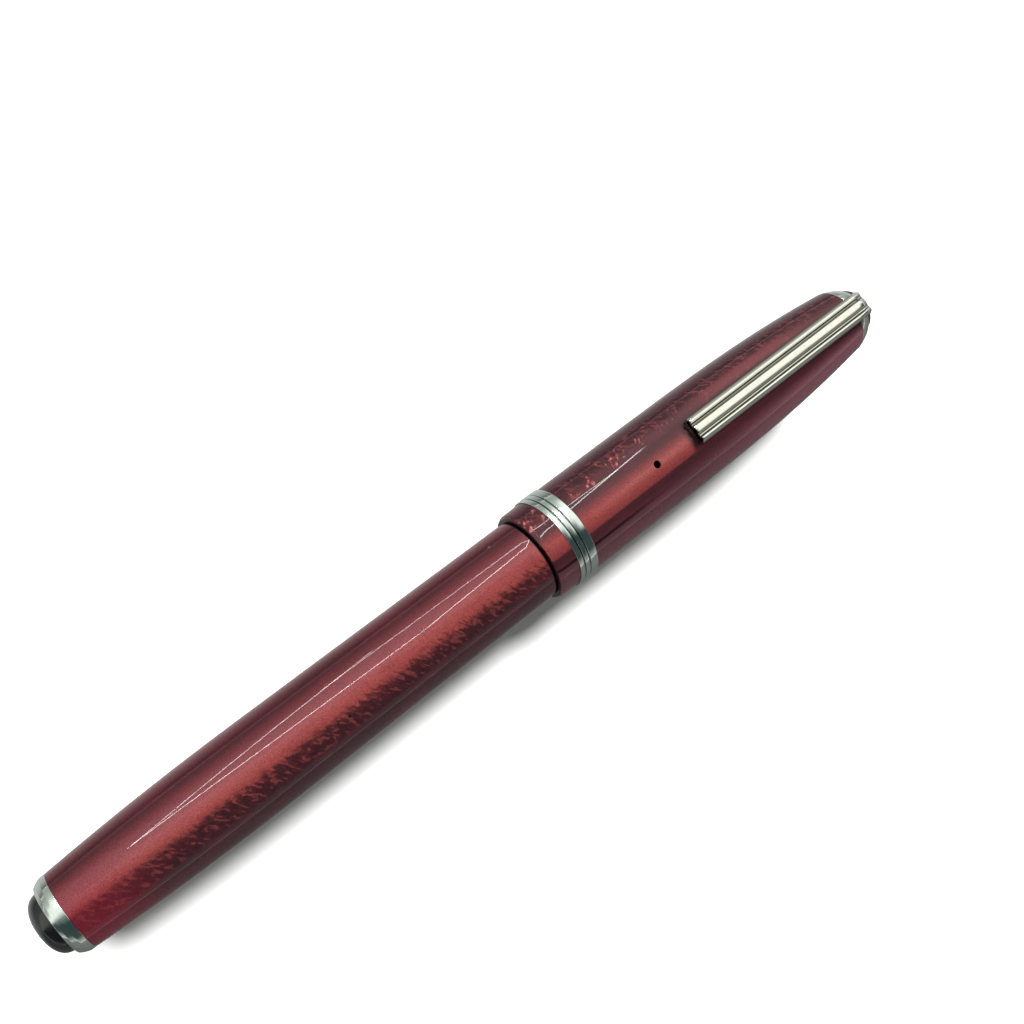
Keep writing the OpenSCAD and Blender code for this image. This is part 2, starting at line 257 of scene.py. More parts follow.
def prism(name, outline, low, high):
    """A plate with this (x, y) outline, from z = low to z = high."""
    count = len(outline)
    points = [(x, y, low) for x, y in outline] + [(x, y, high) for x, y in outline]
    sides = [(k, (k + 1) % count, (k + 1) % count + count, k + count) for k in range(count)]
    return piece_from(name, points, [tuple(range(count)), tuple(range(count, 2 * count)), *sides])


def block(name, x, y, z):
    """A box with these two limits along each axis."""
    (x0, x1), (y0, y1) = x, y
    return prism(name, [(x0, y0), (x1, y0), (x1, y1), (x0, y1)], *z)


def stadium(back, front, width):
    """An (x, y) outline along X with round ends."""
    half = width / 2
    arc = [(half * math.sin(a), half * math.cos(a)) for a in stations(0, math.pi, 24)]
    front_end = [(front - half + x, y) for x, y in arc]
    back_end = [(back + half - x, -y) for x, y in arc]
    return front_end + back_end


def bar(name, start, end, radius):
    """A round bar between two points."""
    steps = 40
    a, b = Vector(start), Vector(end)
    direction = (b - a).normalized()
    side = direction.orthogonal().normalized()
    other = direction.cross(side)
    ring = [
        side * radius * math.cos(t) + other * radius * math.sin(t)
        for t in stations(0, 2 * math.pi, steps)[:-1]
    ]
    points = [a + p for p in ring] + [b + p for p in ring]
    sides = [(k, (k + 1) % steps, (k + 1) % steps + steps, k + steps) for k in range(steps)]
    ends = [tuple(range(steps)), tuple(range(steps, 2 * steps))]
    return piece_from(name, points, ends + sides)


def cut(piece, *cutters, angle=SHARP_ANGLE):
    """Takes the cutters out of the piece and removes them."""
    for cutter in cutters:
        modifier = piece.modifiers.new("cut", "BOOLEAN")
        modifier.operation = "DIFFERENCE"
        modifier.solver = "EXACT"
        modifier.object = cutter
    bpy.context.view_layer.update()
    made = bpy.data.meshes.new_from_object(
        piece.evaluated_get(bpy.context.evaluated_depsgraph_get())
    )
    piece.modifiers.clear()
    piece.data = made
    made.name = piece.name
    for cutter in cutters:
        bpy.data.objects.remove(cutter)
    smooth(piece, angle)
    return piece


# ---------------------------------------------------------------- material tools


def srgb(red, green, blue):
    """A linear colour from 0-255 display values."""
    return tuple(
        (v / 12.92 if v <= 0.04045 else ((v + 0.055) / 1.055) ** 2.4)
        for v in (red / 255, green / 255, blue / 255)
    ) + (1.0,)


class Tree:
    """Short calls for building a node tree. Those that make a value return its socket."""

    def __init__(self, tree):
        self.tree = tree
        tree.nodes.clear()

    def node(self, kind, inputs=None, **settings):
        made = self.tree.nodes.new(kind)
        for key, value in settings.items():
            setattr(made, key, value)
        for key, value in (inputs or {}).items():
            if isinstance(value, bpy.types.NodeSocket):
                self.tree.links.new(value, made.inputs[key])
            else:
                made.inputs[key].default_value = value
        return made

    def math(self, operation, *values):
        return self.node("ShaderNodeMath", dict(enumerate(values)), operation=operation).outputs[0]

    def plus(self, total, *others):
        for other in others:
            total = self.math("ADD", total, other)
        return total

    def minus(self, a, b):
        return self.math("SUBTRACT", a, b)

    def times(self, total, *others):
        for other in others:
            total = self.math("MULTIPLY", total, other)
        return total

    def size(self, value):
        return self.math("ABSOLUTE", value)

    def distance(self, a, b):
        """The length of the diagonal with these two sides."""
        return self.math("SQRT", self.plus(self.times(a, a), self.times(b, b)))

    def vector(self, x, y, z):
        return self.node("ShaderNodeCombineXYZ", {0: x, 1: y, 2: z}).outputs[0]

    def noise(self, vector, scale, detail, roughness, distortion=0.0):
        inputs = {
            "Vector": vector, "Scale": scale, "Detail": detail,
            "Roughness": roughness, "Distortion": distortion,
        }
        return self.node("ShaderNodeTexNoise", inputs).outputs["Fac"]

    def range(self, value, low, high, to_low=0.0, to_high=1.0, smooth=True):
        kind = "SMOOTHSTEP" if smooth else "LINEAR"
        inputs = {"Value": value, 1: low, 2: high, 3: to_low, 4: to_high}
        return self.node("ShaderNodeMapRange", inputs, interpolation_type=kind).outputs[0]

    def between(self, value, start, full, fading, end):
        """1 from full to fading, and 0 before start and after end."""
        return self.times(self.range(value, start, full), self.range(value, end, fading))

    def around(self, turn):
        """A turn in degrees as a place on a ramp, with -180 and 180 at its ends."""
        return self.math("DIVIDE", self.plus(turn, 180), 360)

    def ramp(self, value, stops):
        made = self.node("ShaderNodeValToRGB", {"Fac": value})
        elements = made.color_ramp.elements
        while len(elements) < len(stops):
            elements.new(0.5)
        for element, (place, colour) in zip(elements, stops):
            element.position = place
            element.color = colour
        return made.outputs["Color"]

    def mix(self, share, a, b, blend="MIX"):
        inputs = {0: share, 6: a, 7: b}
        return self.node("ShaderNodeMix", inputs, data_type="RGBA", blend_type=blend).outputs[2]

    def bump(self, height, distance, strength):
        inputs = {"Height": height, "Distance": distance, "Strength": strength}
        return self.node("ShaderNodeBump", inputs).outputs["Normal"]


class Place:
    """Where a shaded point is on the pen: x, y, z in millimetres, its turn in degrees from +Z
    towards +Y, and its distance from the axis."""

    def __init__(self, t):
        found = t.node("ShaderNodeTexCoord").outputs["Object"]
        scaled = t.node("ShaderNodeVectorMath", {0: found, "Scale": 1 / MM}, operation="SCALE")
        self.point = scaled.outputs[0]
        parts = t.node("ShaderNodeSeparateXYZ", {0: self.point})
        self.x, self.y, self.z = parts.outputs
        self.turn = t.math("DEGREES", t.math("ARCTAN2", self.y, self.z))
        self.radius = t.distance(self.y, self.z)

    def stretched(self, t, x, across, shear=0.0):
        """The point scaled along and across the pen, with x sheared by its turn round the axis."""
        along = t.plus(t.times(self.x, x), t.times(self.turn, shear * x))
        return t.vector(along, t.times(self.y, across), t.times(self.z, across))


def material(name, build):
    """A new material whose surface is what build(tree, place) returns."""
    made = bpy.data.materials.new(name)
    made.use_nodes = True
    t = Tree(made.node_tree)
    shader = build(t, Place(t))
    t.node("ShaderNodeOutputMaterial", {"Surface": shader})
    return made


def principled(t, **inputs):
    names = {k.replace("_", " ").title().replace("Ior", "IOR"): v for k, v in inputs.items()}
    return t.node("ShaderNodeBsdfPrincipled", names).outputs[0]


def turn_stops(stops, tone):
    """Ramp stops from (degrees, colour), with -180 and 180 at the ends of the ramp."""
    return [
        ((degrees + 180) / 360, tuple(tone * c for c in srgb(*colour)[:3]) + (1,))
        for degrees, colour in stops
    ]


# ---------------------------------------------------------------- materials

SCRATCH_DEPTH = 0.01 * MM
PEARL_TONE = 0.92
LUMP_SPACING = 1.0

# The streaks of the barrel, by degrees from the clip's side towards +Y.
BARREL_STREAKS = (
    (-180, (88, 38, 45)), (-165, (74, 32, 40)), (-150, (140, 62, 60)), (-138, (146, 66, 62)),
    (-126, (74, 32, 38)), (-100, (70, 34, 40)), (-60, (56, 33, 38)), (-30, (58, 29, 34)),
    (-24, (62, 30, 34)), (-19, (72, 34, 37)), (-16, (102, 46, 47)), (-12, (134, 60, 58)),
    (-4, (148, 68, 66)), (6, (148, 68, 70)), (14, (128, 60, 66)), (26, (110, 44, 51)),
    (33, (92, 36, 43)), (40, (68, 27, 34)), (52, (70, 26, 34)), (64, (94, 44, 51)),
    (84, (122, 68, 73)), (100, (92, 40, 47)), (118, (132, 58, 58)), (130, (140, 62, 60)),
    (142, (80, 34, 40)), (160, (84, 36, 43)), (180, (88, 38, 45)),
)

# The streaks of the cap, in the same way.
CAP_STREAKS = (
    (-180, (88, 38, 45)), (-160, (80, 34, 40)), (-146, (136, 58, 58)), (-132, (130, 56, 56)),
    (-120, (76, 34, 40)), (-90, (88, 50, 57)), (-60, (88, 50, 58)), (-44, (78, 44, 52)),
    (-34, (72, 38, 45)), (-26, (62, 31, 36)), (-20.5, (66, 32, 37)), (-19.5, (118, 52, 52)),
    (-12, (136, 62, 60)), (-3, (152, 72, 70)), (4, (118, 48, 50)), (9, (86, 35, 42)),
    (15, (70, 30, 38)), (24, (78, 34, 42)), (36, (68, 28, 37)), (43, (60, 27, 35)),
    (60, (62, 30, 38)), (78, (90, 52, 58)), (100, (84, 38, 45)), (120, (128, 56, 56)),
    (136, (124, 54, 55)), (150, (78, 34, 41)), (180, (88, 38, 45)),
)

# Each torn edge of a streak: (lowest degrees, highest degrees, how many degrees it is torn).
BARREL_EDGES = ((-44, 0, 6.5), (105, 150, 8), (-160, -118, 8))
CAP_EDGES = ((24, 62, 8.5), (105, 160, 8), (-160, -112, 8))


def scratches(t, place):
    """Fine handling marks: a few hairlines along the pen and very small dents."""
    hairs = t.noise(place.stretched(t, 0.25, 9.0), 1.0, 2, 0.6)
    dents = t.noise(place.point, 1.6, 2, 0.5)
    return t.plus(t.times(t.range(hairs, 0.66, 0.72), 0.12), t.times(dents, 0.5))


def torn(t, place, low, high, amount):
    """How far, in degrees, a streak's edge is pulled to and fro between low and high: a row of
    small slanted lumps, each of its own size, with ragged noise over them."""
    wander = t.noise(place.stretched(t, 0.7, 0.9), 1.0, 3, 0.6)
    along = t.plus(place.x, t.times(place.turn, 0.05), t.times(wander, 2.6))
    lump = t.math("SINE", t.times(along, 2 * math.pi / LUMP_SPACING))
    size = t.range(t.noise(place.stretched(t, 0.6, 0.9), 1.0, 2, 0.5), 0.38, 0.62, 0.2, 1.0)
    ragged = t.minus(t.noise(place.stretched(t, 1.1, 1.5, 0.05), 1.0, 3, 0.6), 0.5)
    pulled = t.plus(t.times(lump, size, amount * 0.28), t.times(ragged, amount * 2.0))
    return t.times(pulled, t.between(place.turn, low, low + 5, high - 6, high))


def crimp_light_and_shade(t, place, low, high, colour):
    """Painted highlights and painted shade on small slanted lumps along a torn edge, as if the sheet
    were crimped there.
    """
    lumps = t.noise(place.stretched(t, 1.5, 0.8, 0.06), 1.4, 1, 0.5, 0.4)
    within = t.between(place.turn, low + 4, low + 14, high - 14, high - 4)
    bright = t.times(t.range(lumps, 0.54, 0.64, 0.0, 0.28), within)
    dark = t.times(t.range(lumps, 0.47, 0.38, 0.0, 0.55), within)
    colour = t.mix(bright, colour, srgb(156, 74, 72))
    return t.mix(dark, colour, srgb(48, 20, 26))


def drift(t, place):
    """The ragged edge of the barrel's bright streak runs slowly round towards the shoulder."""
    along = t.range(place.x, BARREL_END, -2, -8, 3.5, smooth=False)
    return t.times(along, t.range(place.turn, 3, -9))


def pearl(streaks, edges, details, shift=None):
    """Glossy pearlescent plastic: streaks along the pen with torn edges, the details that are
    painted over them, a fine pearl grain and a clear polish."""

    def build(t, place):
        turn = t.plus(place.turn, shift(t, place)) if shift else place.turn
        for low, high, amount in edges:
            turn = t.plus(turn, torn(t, place, low, high, amount))
        slow = t.noise(place.stretched(t, 0.07, 0.3), 1.0, 2, 0.5)
        away = t.range(t.size(place.turn), 34, 50, 0.0, 16.0)
        turn = t.plus(turn, t.times(t.minus(slow, 0.5), away))
        colour = t.ramp(t.around(turn), turn_stops(streaks, PEARL_TONE))
        clouds = t.noise(place.stretched(t, 0.2, 0.9), 1.0, 3, 0.55)
        colour = t.mix(t.range(clouds, 0.45, 0.8, 0.0, 0.3), colour, srgb(104, 32, 44))
        for low, high, _ in edges:
            colour = crimp_light_and_shade(t, place, low, high, colour)
        for detail in details:
            colour = detail(t, place, colour)
        grain = t.noise(place.point, 7.5, 2, 0.7)
        light, dark = t.range(grain, 0.5, 0.72), t.range(grain, 0.52, 0.28, 0.1, 1.0)
        colour = t.mix(light, colour, (1.42, 1.36, 1.3, 1), "MULTIPLY")
        colour = t.mix(dark, colour, (0.6, 0.56, 0.6, 1), "MULTIPLY")
        return principled(
            t, base_color=colour, metallic=0.0, roughness=0.5, specular_ior_level=0.0,
            normal=t.bump(grain, 0.03 * MM, 0.5), coat_weight=1.0, coat_roughness=0.035,
            coat_normal=t.bump(scratches(t, place), SCRATCH_DEPTH, 0.35), coat_ior=1.44,
        )

    return build


def crimson_tail(t, place, colour):
    """The streaks turn crimson towards the tail, where the sheet was pressed thin."""
    near = t.range(place.x, -50, -59, 0.0, 0.45)
    return t.mix(t.times(near, t.range(place.turn, 40, 10)), colour, srgb(122, 30, 46))


def shoulder_gap_shade(t, place, colour):
    """Painted shade in the gap at the barrel's shoulder, under the cap's lip."""
    return t.mix(t.between(place.x, -0.42, -0.2, 0.1, 0.3), colour, srgb(22, 9, 12))


def spots(t, place, colour):
    """A pit and a small pale knock from use."""
    for x, turn, size, tint in ((-28.6, -19, 0.22, (30, 12, 16)), (-4.3, 47, 0.24, (118, 72, 78))):
        across = t.times(t.minus(place.turn, turn), math.radians(BARREL_R))
        away = t.distance(t.minus(place.x, x), across)
        colour = t.mix(t.range(away, size, size * 0.6, 0.0, 0.8), colour, srgb(*tint))
    return colour


def feathers(t, place, colour):
    """Small bright feathers that cross the dark side of the cap, with a painted glint on their
    brightest parts.
    """
    slanted = place.stretched(t, 1.0, 0.75, -0.05)
    clusters = t.range(t.noise(slanted, 0.5, 1, 0.5), 0.46, 0.56)
    crimp = t.noise(slanted, 2.1, 2, 0.5, 0.2)
    where = t.times(t.between(place.turn, 17, 24, 36, 52), t.range(place.x, 26, 9, 0.1, 0.7))
    feather = t.times(t.range(crimp, 0.48, 0.62), clusters, where)
    glint = t.times(t.range(crimp, 0.62, 0.68), where, clusters)
    colour = t.mix(feather, colour, srgb(156, 68, 70))
    return t.mix(glint, colour, srgb(206, 132, 130))


def clip_shadow(t, place, colour):
    """Painted shade on the plastic beside and below the clip, and a painted shadow in front of its
    folded tip.
    """
    tip = CLIP_LOW.x
    clip_shade = t.times(t.range(place.x, tip - 1.6, tip - 0.6),
                      t.between(place.turn, -22, -19, 6, 16), 0.85)
    shade = t.times(t.range(place.x, tip - 1.1, tip - 0.3), t.range(t.size(place.turn), 20, 13), 0.85)
    colour = t.mix(clip_shade, colour, srgb(52, 24, 29))
    return t.mix(shade, colour, srgb(24, 12, 16))


def cap_sides(t, place, colour):
    """The mauve side of the cap, and the red streak that runs along the clip."""
    mauve = t.times(t.range(place.x, 18, 52, 0.0, 0.6), t.between(place.turn, -112, -92, -42, -24))
    red = t.times(t.range(place.x, 24, 34, 0.0, 0.4), t.range(place.x, 54, 42),
                  t.between(place.turn, 18, 24, 31, 38))
    colour = t.mix(mauve, colour, srgb(122, 70, 80))
    return t.mix(red, colour, srgb(136, 58, 62))


def breather_hole_shade(t, place, colour):
    """Painted shade on the wall inside the breather hole."""
    x = BREATHER_X
    inside = t.times(t.range(place.radius, CAP_R - 0.16, CAP_R - 0.3),
                     t.between(place.x, x - 2, x - 1, x + 1, x + 2))
    return t.mix(inside, colour, srgb(18, 8, 10))


def lip_shade_and_line(t, place, colour):
    """Painted shade on the edge of the cap's lip, and a thin dark line that runs back from it."""
    colour = t.mix(t.range(place.x, 0.16, 0.05), colour, srgb(24, 10, 13))
    thin = t.range(t.size(t.plus(place.turn, 35)), 2.6, 1.0)
    return t.mix(t.times(thin, t.range(place.x, 20, 9)), colour, srgb(34, 12, 18))


def steel(tint, rough, brushed_across=True, recess_darkening=None):
    """Bright steel with turning marks, light tarnish and, where it is given, a darker colour in its
    grooves and hollows.
    """

    def build(t, place):
        fine = (6.0, 0.5) if brushed_across else (0.5, 6.0)
        lines = t.noise(place.stretched(t, *fine), 1.0, 3, 0.6)
        cloud = t.noise(place.point, 0.9, 4, 0.6)
        colour = t.mix(t.range(cloud, 0.35, 0.75, 0.0, 0.10), tint, srgb(112, 116, 100))
        colour = t.mix(t.range(lines, 0.4, 0.8, 0.0, 0.10), colour, srgb(90, 96, 92))
        specks = t.range(t.noise(place.point, 3.2, 3, 0.6), 0.69, 0.74, 0.0, 0.5)
        colour = t.mix(specks, colour, srgb(84, 78, 66))
        # Darker in grooves and hollows: painted shade on the clip, darker groove bottoms on the band.
        if recess_darkening:
            colour = t.mix(recess_darkening(t, place), colour, srgb(34, 37, 33))
        roughness = t.range(cloud, 0.2, 0.8, rough * 0.9, rough * 1.15)
        return principled(t, base_color=colour, metallic=1.0, roughness=roughness)

    return build


def band_groove_darkening(t, place):
    """Darker at the bottom of the band's grooves."""
    floor = BAND_HIGH.z - BAND_GROOVE_DEPTH
    return t.range(place.radius, floor + 0.07, floor, 0.0, 0.85)


def clip_valley_shade(t, place):
    """Painted shade in the valleys beside the clip's ribs, and in the hollow of its folded tip."""
    side, tip, top = t.size(place.y), CLIP_LOW.x, CLIP_HIGH.z
    total = t.times(t.between(place.x, tip + 0.06, tip + 0.2, tip + 3.4, tip + 4),
                    t.range(side, 1.6, 1.54), t.range(place.z, top - 0.42, top - 0.5))
    for middle, half, depth in ((0.62, 0.11, 0.75), (0.95, 0.10, 0.7), (1.72, 0.14, 0.35)):
        valley = t.range(t.size(t.minus(side, middle)), half, half * 0.3, 0.0, depth)
        total = t.math("MAXIMUM", total, valley)
    return total


def black_plastic(tint=(16, 16, 18), rough=0.16):
    """Polished black plastic with dust and hairlines."""

    def build(t, place):
        dust = t.range(t.noise(place.point, 5.0, 3, 0.6), 0.66, 0.76, 0.0, 0.25)
        colour = t.mix(dust, srgb(*tint), srgb(70, 70, 74))
        cloud = t.noise(place.point, 1.1, 3, 0.5)
        roughness = t.range(cloud, 0.3, 0.7, rough * 0.7, rough * 1.6)
        marks = t.bump(scratches(t, place), SCRATCH_DEPTH, 0.4)
        return principled(t, base_color=colour, roughness=roughness, normal=marks,
                          coat_weight=0.4, coat_roughness=0.08)

    return build


def rubber(tint, rough=0.6):
    """Matt rubber with a fine powdery grain."""

    def build(t, place):
        powder = t.noise(place.point, 2.2, 5, 0.65)
        colour = t.mix(t.range(powder, 0.4, 0.75, 0.0, 0.3), srgb(*tint), srgb(92, 88, 84))
        grain = t.bump(t.noise(place.point, 9.0, 3, 0.6), 0.02 * MM, 0.5)
        return principled(t, base_color=colour, roughness=rough, normal=grain)

    return build


PEARL_BARREL = material("pearl_barrel", pearl(
    BARREL_STREAKS, BARREL_EDGES, (crimson_tail, shoulder_gap_shade, spots), drift))
PEARL_CAP = material("pearl_cap", pearl(
    CAP_STREAKS, CAP_EDGES, (feathers, clip_shadow, cap_sides, breather_hole_shade, lip_shade_and_line)))
BRIGHT_STEEL = material("bright_steel", steel(srgb(222, 230, 224), 0.13))
BAND_STEEL = material("band_steel", steel(srgb(222, 231, 226), 0.13, recess_darkening=band_groove_darkening))
CLIP_STEEL = material("clip_steel", steel(
    srgb(236, 236, 226), 0.12, brushed_across=False, recess_darkening=clip_valley_shade))
LEVER_STEEL = material("lever_steel", steel(srgb(190, 196, 192), 0.24, brushed_across=False))
SPRING_STEEL = material("spring_steel", steel(srgb(150, 152, 152), 0.36, brushed_across=False))
NIB_STEEL = material("nib_steel", steel(srgb(224, 224, 218), 0.16, brushed_across=False))
TIP_ALLOY = material("tip_alloy", steel(srgb(220, 220, 214), 0.12))
BLACK = material("black_plastic", black_plastic())
INNER_BLACK = material("inner_plastic", black_plastic((24, 24, 25), 0.45))
FEED_RUBBER = material("feed_rubber", rubber((30, 30, 32), 0.42))
SAC_RUBBER = material("sac_rubber", rubber((44, 42, 40)))


def put(piece, body, slot, look, *nodes):
    """Gives a new piece its material and its body, and hides the CAD nodes that it stands for. Its
    slot is not used.
    """
    piece.data.materials.clear()
    piece.data.materials.append(look)
    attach(piece, body)
    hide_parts(*nodes)


def finish_node(node, look, edge=0.0):
    """Keeps a CAD node and gives it a material and, where an edge is given, softened edges."""
    kept = frame["nodes"][node]
    kept.data.materials.clear()
    kept.data.materials.append(look)
    if edge:
        weld = kept.modifiers.new("weld", "WELD")
        weld.merge_threshold = 0.002 * MM
        bevel = kept.modifiers.new("bevel", "BEVEL")
        bevel.width = edge * MM
        bevel.segments = 2
        bevel.limit_method = "ANGLE"
        bevel.angle_limit = math.radians(40)


# ---------------------------------------------------------------- barrel


def make_barrel():
    """The coloured barrel: parallel, tapered to the tail, with a triple-start thread in front."""
    thread_start, thread_end = 0.35, NECK_END - 0.25
    outside = [(x, barrel_radius(x)) for x in stations(BARREL_END, -BARREL_PARALLEL, 40)]
    outside[0] = (BARREL_END, BARREL_TAIL_R, 0.06)
    neck = [(x, THREAD_ROOT_R) for x in stations(thread_start, thread_end - 0.05, 110)]
    outline = rounded([
        (BARREL_END, STUD_R, 0.05), *outside, (0, BARREL_R, SHOULDER_ROUNDING),
        (0, THREAD_ROOT_R, 0.1), *neck,
        (NECK_END, THREAD_ROOT_R - 0.05, 0.1), (NECK_END, BORE_R, 0.05),
        (BORE_END, BORE_R, 0.4), (BORE_END, STUD_R), (BORE_END - 0.6, STUD_R * 0.8),
        (BORE_END - 1.4, 0),
    ])

    def threads(x, r, turn):
        if x <= thread_start or x > thread_end or r < THREAD_ROOT_R - 0.01:
            return r
        run_in = min(1, (x - thread_start) / 0.5, (thread_end - x) / 0.6)
        height = thread_height(x, turn, RIB_FOOT, RIB_CREST)
        return THREAD_ROOT_R + (THREAD_CREST_R - THREAD_ROOT_R) * height * run_in

    stud_hole = [(BARREL_END + STUD_LENGTH, 0), (BARREL_END + STUD_LENGTH, STUD_R)]
    body = lathe("barrel_shell", dense(stud_hole + outline, 0.9), shape=threads)
    opening = stadium(LEVER_LOW.x - 1, LEVER_HIGH.x + 0.3, LEVER_SLOT_WIDTH)
    slot = prism("slot_cutter", dense(opening, 0.8, True), -BARREL_R - 1, -3.0)
    pin_x, pin_z = PIN_LOW.x + PIN_R, PIN_LOW.z + PIN_R
    hole = bar("pin_cutter", (pin_x, -BARREL_R, pin_z), (pin_x, BARREL_R, pin_z), PIN_R)
    cut(body, slot, hole)
    put(body, "barrel", "pearl_red", PEARL_BARREL, "barrel")


make_barrel()


def jewel(name, base, way, r, stud_end, top, body, node, fullness):
    """A black dome with a turned foot, on its stud. The dome is fuller for a smaller fullness."""
    foot = 0.16
    height = abs(top - base) - foot
    dome = [
        (base + way * (foot + height * math.sin(a)), r * math.cos(a) ** fullness)
        for a in stations(0, math.pi / 2, 18)[:-1]
    ]
    outline = [(stud_end, 0), (stud_end, STUD_R - 0.15), (stud_end + way * 0.15, STUD_R - 0.02),
               (base, STUD_R - 0.02), (base, r - 0.06), (base + way * 0.05, r), *dome, (top, 0)]
    put(lathe(name, outline), body, "black_plastic", BLACK, node)


def make_tail():
    """The bright convex ring at the tail and the black jewel that holds it."""
    start, end, r = BARREL_END, TAIL_LOW.x, BARREL_TAIL_R
    ring = lathe("tail_ring_bright", rounded([
        (start, STUD_R), (start, r, 0.08), (start - 0.62, r, 0.5), (start - 1.16, r - 0.24, 0.3),
        (end, r - 0.5, 0.12), (end, STUD_R),
    ]), closed=True)
    put(ring, "barrel", "bright_steel", BRIGHT_STEEL, "tail_ring")
    jewel("tail_jewel_black", end, -1, TAIL_JEWEL_HIGH.z, TAIL_JEWEL_HIGH.x, TAIL_JEWEL_LOW.x,
          "barrel", "tail_jewel", 0.75)


make_tail()


# ---------------------------------------------------------------- cap


def make_cap():
    """The cap's shell, with its lip, the band's seat, its inner thread and the breather hole."""
    inner_r = INNER_HIGH.z + RUNNING
    inner_start, inner_end = INNER_LOW.x - RUNNING, INNER_HIGH.x + 0.3
    bore_r = THREAD_CREST_R + RUNNING
    thread_start, thread_end = 0.3, 8.4
    spigot = CAP_HIGH.x
    outside = [(x, cap_radius(x)) for x in stations(BAND_HIGH.x, CAP_END, 70)]
    outline = rounded([
        (0, bore_r, 0.15), (0, LIP_R - 0.3, 0.2), (0.5, LIP_R - 0.02, 0.5),
        (BAND_LOW.x, cap_radius(BAND_LOW.x)), (BAND_LOW.x, BAND_SEAT_R),
        (BAND_HIGH.x, BAND_SEAT_R), *outside, (CAP_END, CAP_TOP_R - RING_WALL),
        (spigot, RING_TOP_R - RING_WALL, 0.1), (spigot, STUD_R + RUNNING, 0.08),
        (spigot - STUD_LENGTH, STUD_R + RUNNING), (spigot - STUD_LENGTH - 0.2, 0.0),
    ])
    bore = [(x, bore_r) for x in stations(thread_start, thread_end, 130)]
    inside = [(inner_start, bore_r), (inner_start, inner_r), (inner_end, inner_r), (inner_end, 0)]
    shell_outline = inside[::-1] + bore[::-1] + outline

    def grooves(x, r, turn):
        if abs(r - bore_r) > 1e-6 or not thread_start < x < thread_end:
            return r
        run_in = min(1, (x - thread_start) / 0.4, (thread_end - x) / 0.6)
        depth = thread_height(x, turn, RIB_FOOT + RUNNING, RIB_CREST + RUNNING)
        return bore_r + (CAP_GROOVE_R - bore_r) * depth * run_in

    shell = lathe("cap_shell_pearl", dense(shell_outline, 0.9), shape=grooves)
    turn = math.radians(BREATHER_TURN)
    out = Vector((0, -math.sin(turn), math.cos(turn)))
    start = Vector((BREATHER_X, 0, 0)) + out * (bore_r - 1)
    cut(shell, bar("breather_cutter", start, start + out * 4, BREATHER_R))
    put(shell, "cap", "pearl_red", PEARL_CAP, "cap_shell")


make_cap()


def make_band():
    """The bright band round the cap: three ribs with two grooves, the upper rib the widest."""
    low, high, r = BAND_LOW.x, BAND_HIGH.x, BAND_HIGH.z
    groove = r - BAND_GROOVE_DEPTH
    band = lathe("cap_band_ribbed", rounded([
        (low, BAND_SEAT_R), (low, r - 0.03, 0.1), (low + 0.66, r - 0.03, 0.1),
        (low + 0.72, groove, 0.03), (low + 0.84, groove, 0.03), (low + 0.9, r, 0.1),
        (low + 1.46, r, 0.1), (low + 1.52, groove, 0.03), (low + 1.64, groove, 0.03),
        (low + 1.7, r, 0.12), (high, r - 0.02, 0.16), (high, BAND_SEAT_R),
    ]), segments=192, closed=True)
    put(band, "cap", "bright_steel", BAND_STEEL, "cap_band")


make_band()


def make_ring():
    """The bright cone over the cap's end."""
    low, top, edge = RING_LOW.x, RING_HIGH.x, RING_HIGH.z
    ring = lathe("clip_ring_cone", rounded([
        (low, CAP_TOP_R - RING_WALL), (low, edge, 0.08), (low + 0.9, 4.52, 1.2),
        (low + 1.8, 4.18, 1.6), (top, RING_TOP_R, 0.14), (top, STUD_R + RUNNING),
        (top - RING_WALL, STUD_R + RUNNING), (top - RING_WALL, RING_TOP_R - RING_WALL),
    ]), closed=True)
    put(ring, "cap", "bright_steel", BRIGHT_STEEL, "clip_ring")


make_ring()
jewel("cap_jewel_black", RING_HIGH.x + 0.02, 1, CAP_JEWEL_HIGH.z, CAP_JEWEL_LOW.x,
      CAP_JEWEL_HIGH.x, "cap_jewel", "cap_jewel", 0.45)


def make_inner_cap():
    """The black cup pressed into the cap, which seals on the section's lip."""
    low, high, r, bore = INNER_LOW.x, INNER_HIGH.x, INNER_HIGH.z, 3.9
    cup = lathe("inner_cap_cup", rounded([
        (high - 1, 0), (high - 1, bore, 0.8), (low, bore, 0.12), (low, r, 0.12), (high, r, 0.3),
        (high, 0),
    ]))
    put(cup, "inner_cap", "inner_plastic", INNER_BLACK, "inner_cap")


make_inner_cap()


# ---------------------------------------------------------------- clip

STRIP = 0.45
RIB = 0.3


def clip_section(ribs):
    """(y, height) of half of the clip's outer face, from its middle rib over a valley with a low
    ridge in it to its side rib and its edge. The ribs fade to a flat strip as ribs goes to 0."""
    heights = (
        (0.0, RIB), (0.40, RIB), (0.47, 0.27), (0.56, 0.02), (0.64, -0.04), (0.70, 0.0),
        (0.76, 0.10), (0.82, 0.11), (0.88, 0.02), (0.95, -0.05), (1.01, 0.03), (1.06, 0.18),
        (1.12, 0.255), (1.20, 0.27), (1.34, 0.265), (1.43, 0.22), (1.53, 0.08),
    )
    return [(y, STRIP + height * ribs) for y, height in heights] + [(1.64, STRIP - 0.14)]


